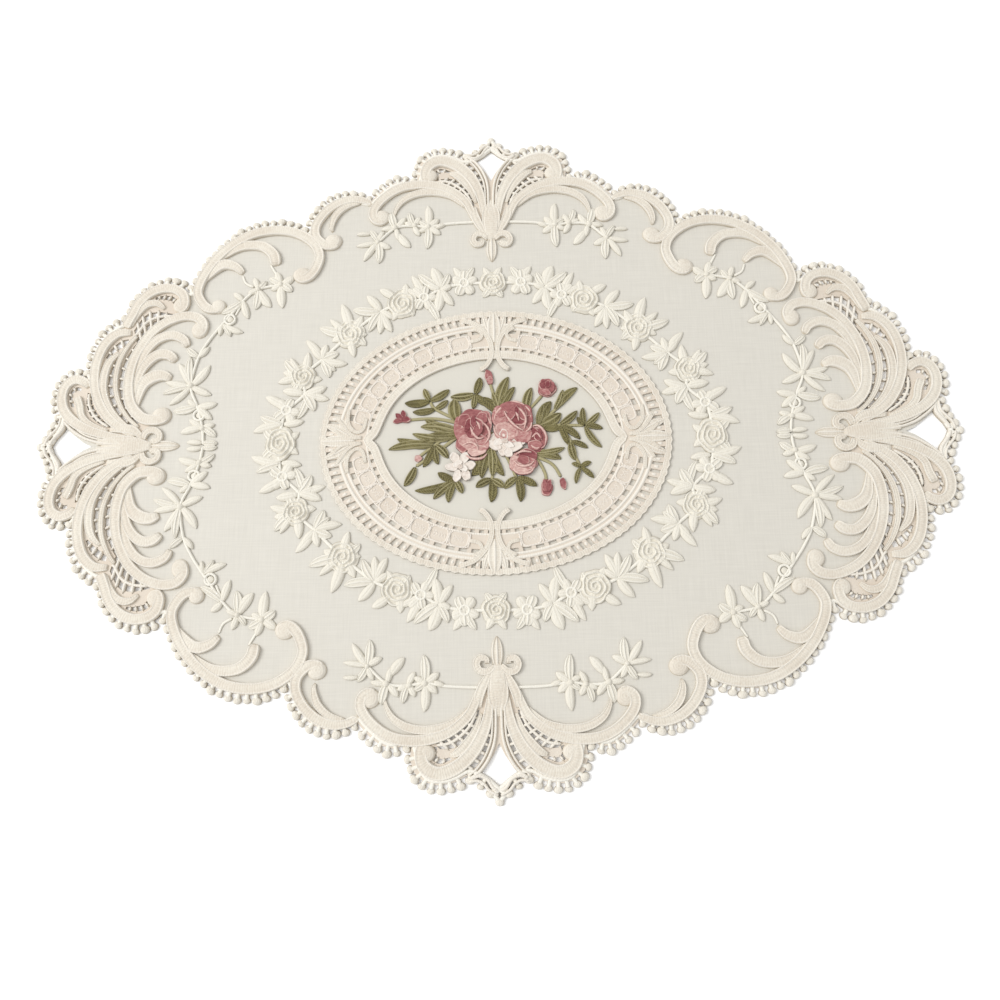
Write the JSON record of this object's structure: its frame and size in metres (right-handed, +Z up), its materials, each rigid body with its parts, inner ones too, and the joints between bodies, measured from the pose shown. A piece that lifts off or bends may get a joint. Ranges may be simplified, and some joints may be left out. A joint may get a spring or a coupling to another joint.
{
  "type": "lace placemat",
  "caption": "Oval openwork lace placemat: sheer voile with a scalloped picot edge, padded scrolls, flower garlands, a rose wreath and an oval frame round a coloured rose bouquet.",
  "frame": {"origin": "middle of the mat's underside, on the surface that it lies on", "axes": "+X along its length, +Y along its width with the bouquet upright, +Z up out of the cloth"},
  "size_m": [0.4506, 0.336, 0.004],
  "materials": {
    "voile": "sheer matte",
    "cream_thread": "satin stitch",
    "leaf_thread": "satin stitch",
    "rose_thread": "satin stitch",
    "white_thread": "satin stitch"
  },
  "bodies": {
    "root": {"lace_ground": "voile", "scroll_border": "cream_thread", "rose_wreath": "cream_thread", "oval_frame": "cream_thread", "spray_back_right": "cream_thread", "spray_back_left": "cream_thread", "spray_front_left": "cream_thread", "spray_front_right": "cream_thread", "garland_right": "cream_thread", "garland_left": "cream_thread", "bouquet_foliage": "leaf_thread", "rose_left": "rose_thread", "rose_crown": "rose_thread", "rose_right": "rose_thread", "rose_low": "rose_thread", "bud_top": "rose_thread", "bud_rose": "rose_thread", "bud_left": "rose_thread", "bud_low": "rose_thread", "bud_small": "rose_thread", "bud_pale": "rose_thread", "blossom_heart": "white_thread", "blossom_low": "white_thread"}
  },
  "joints": []
}
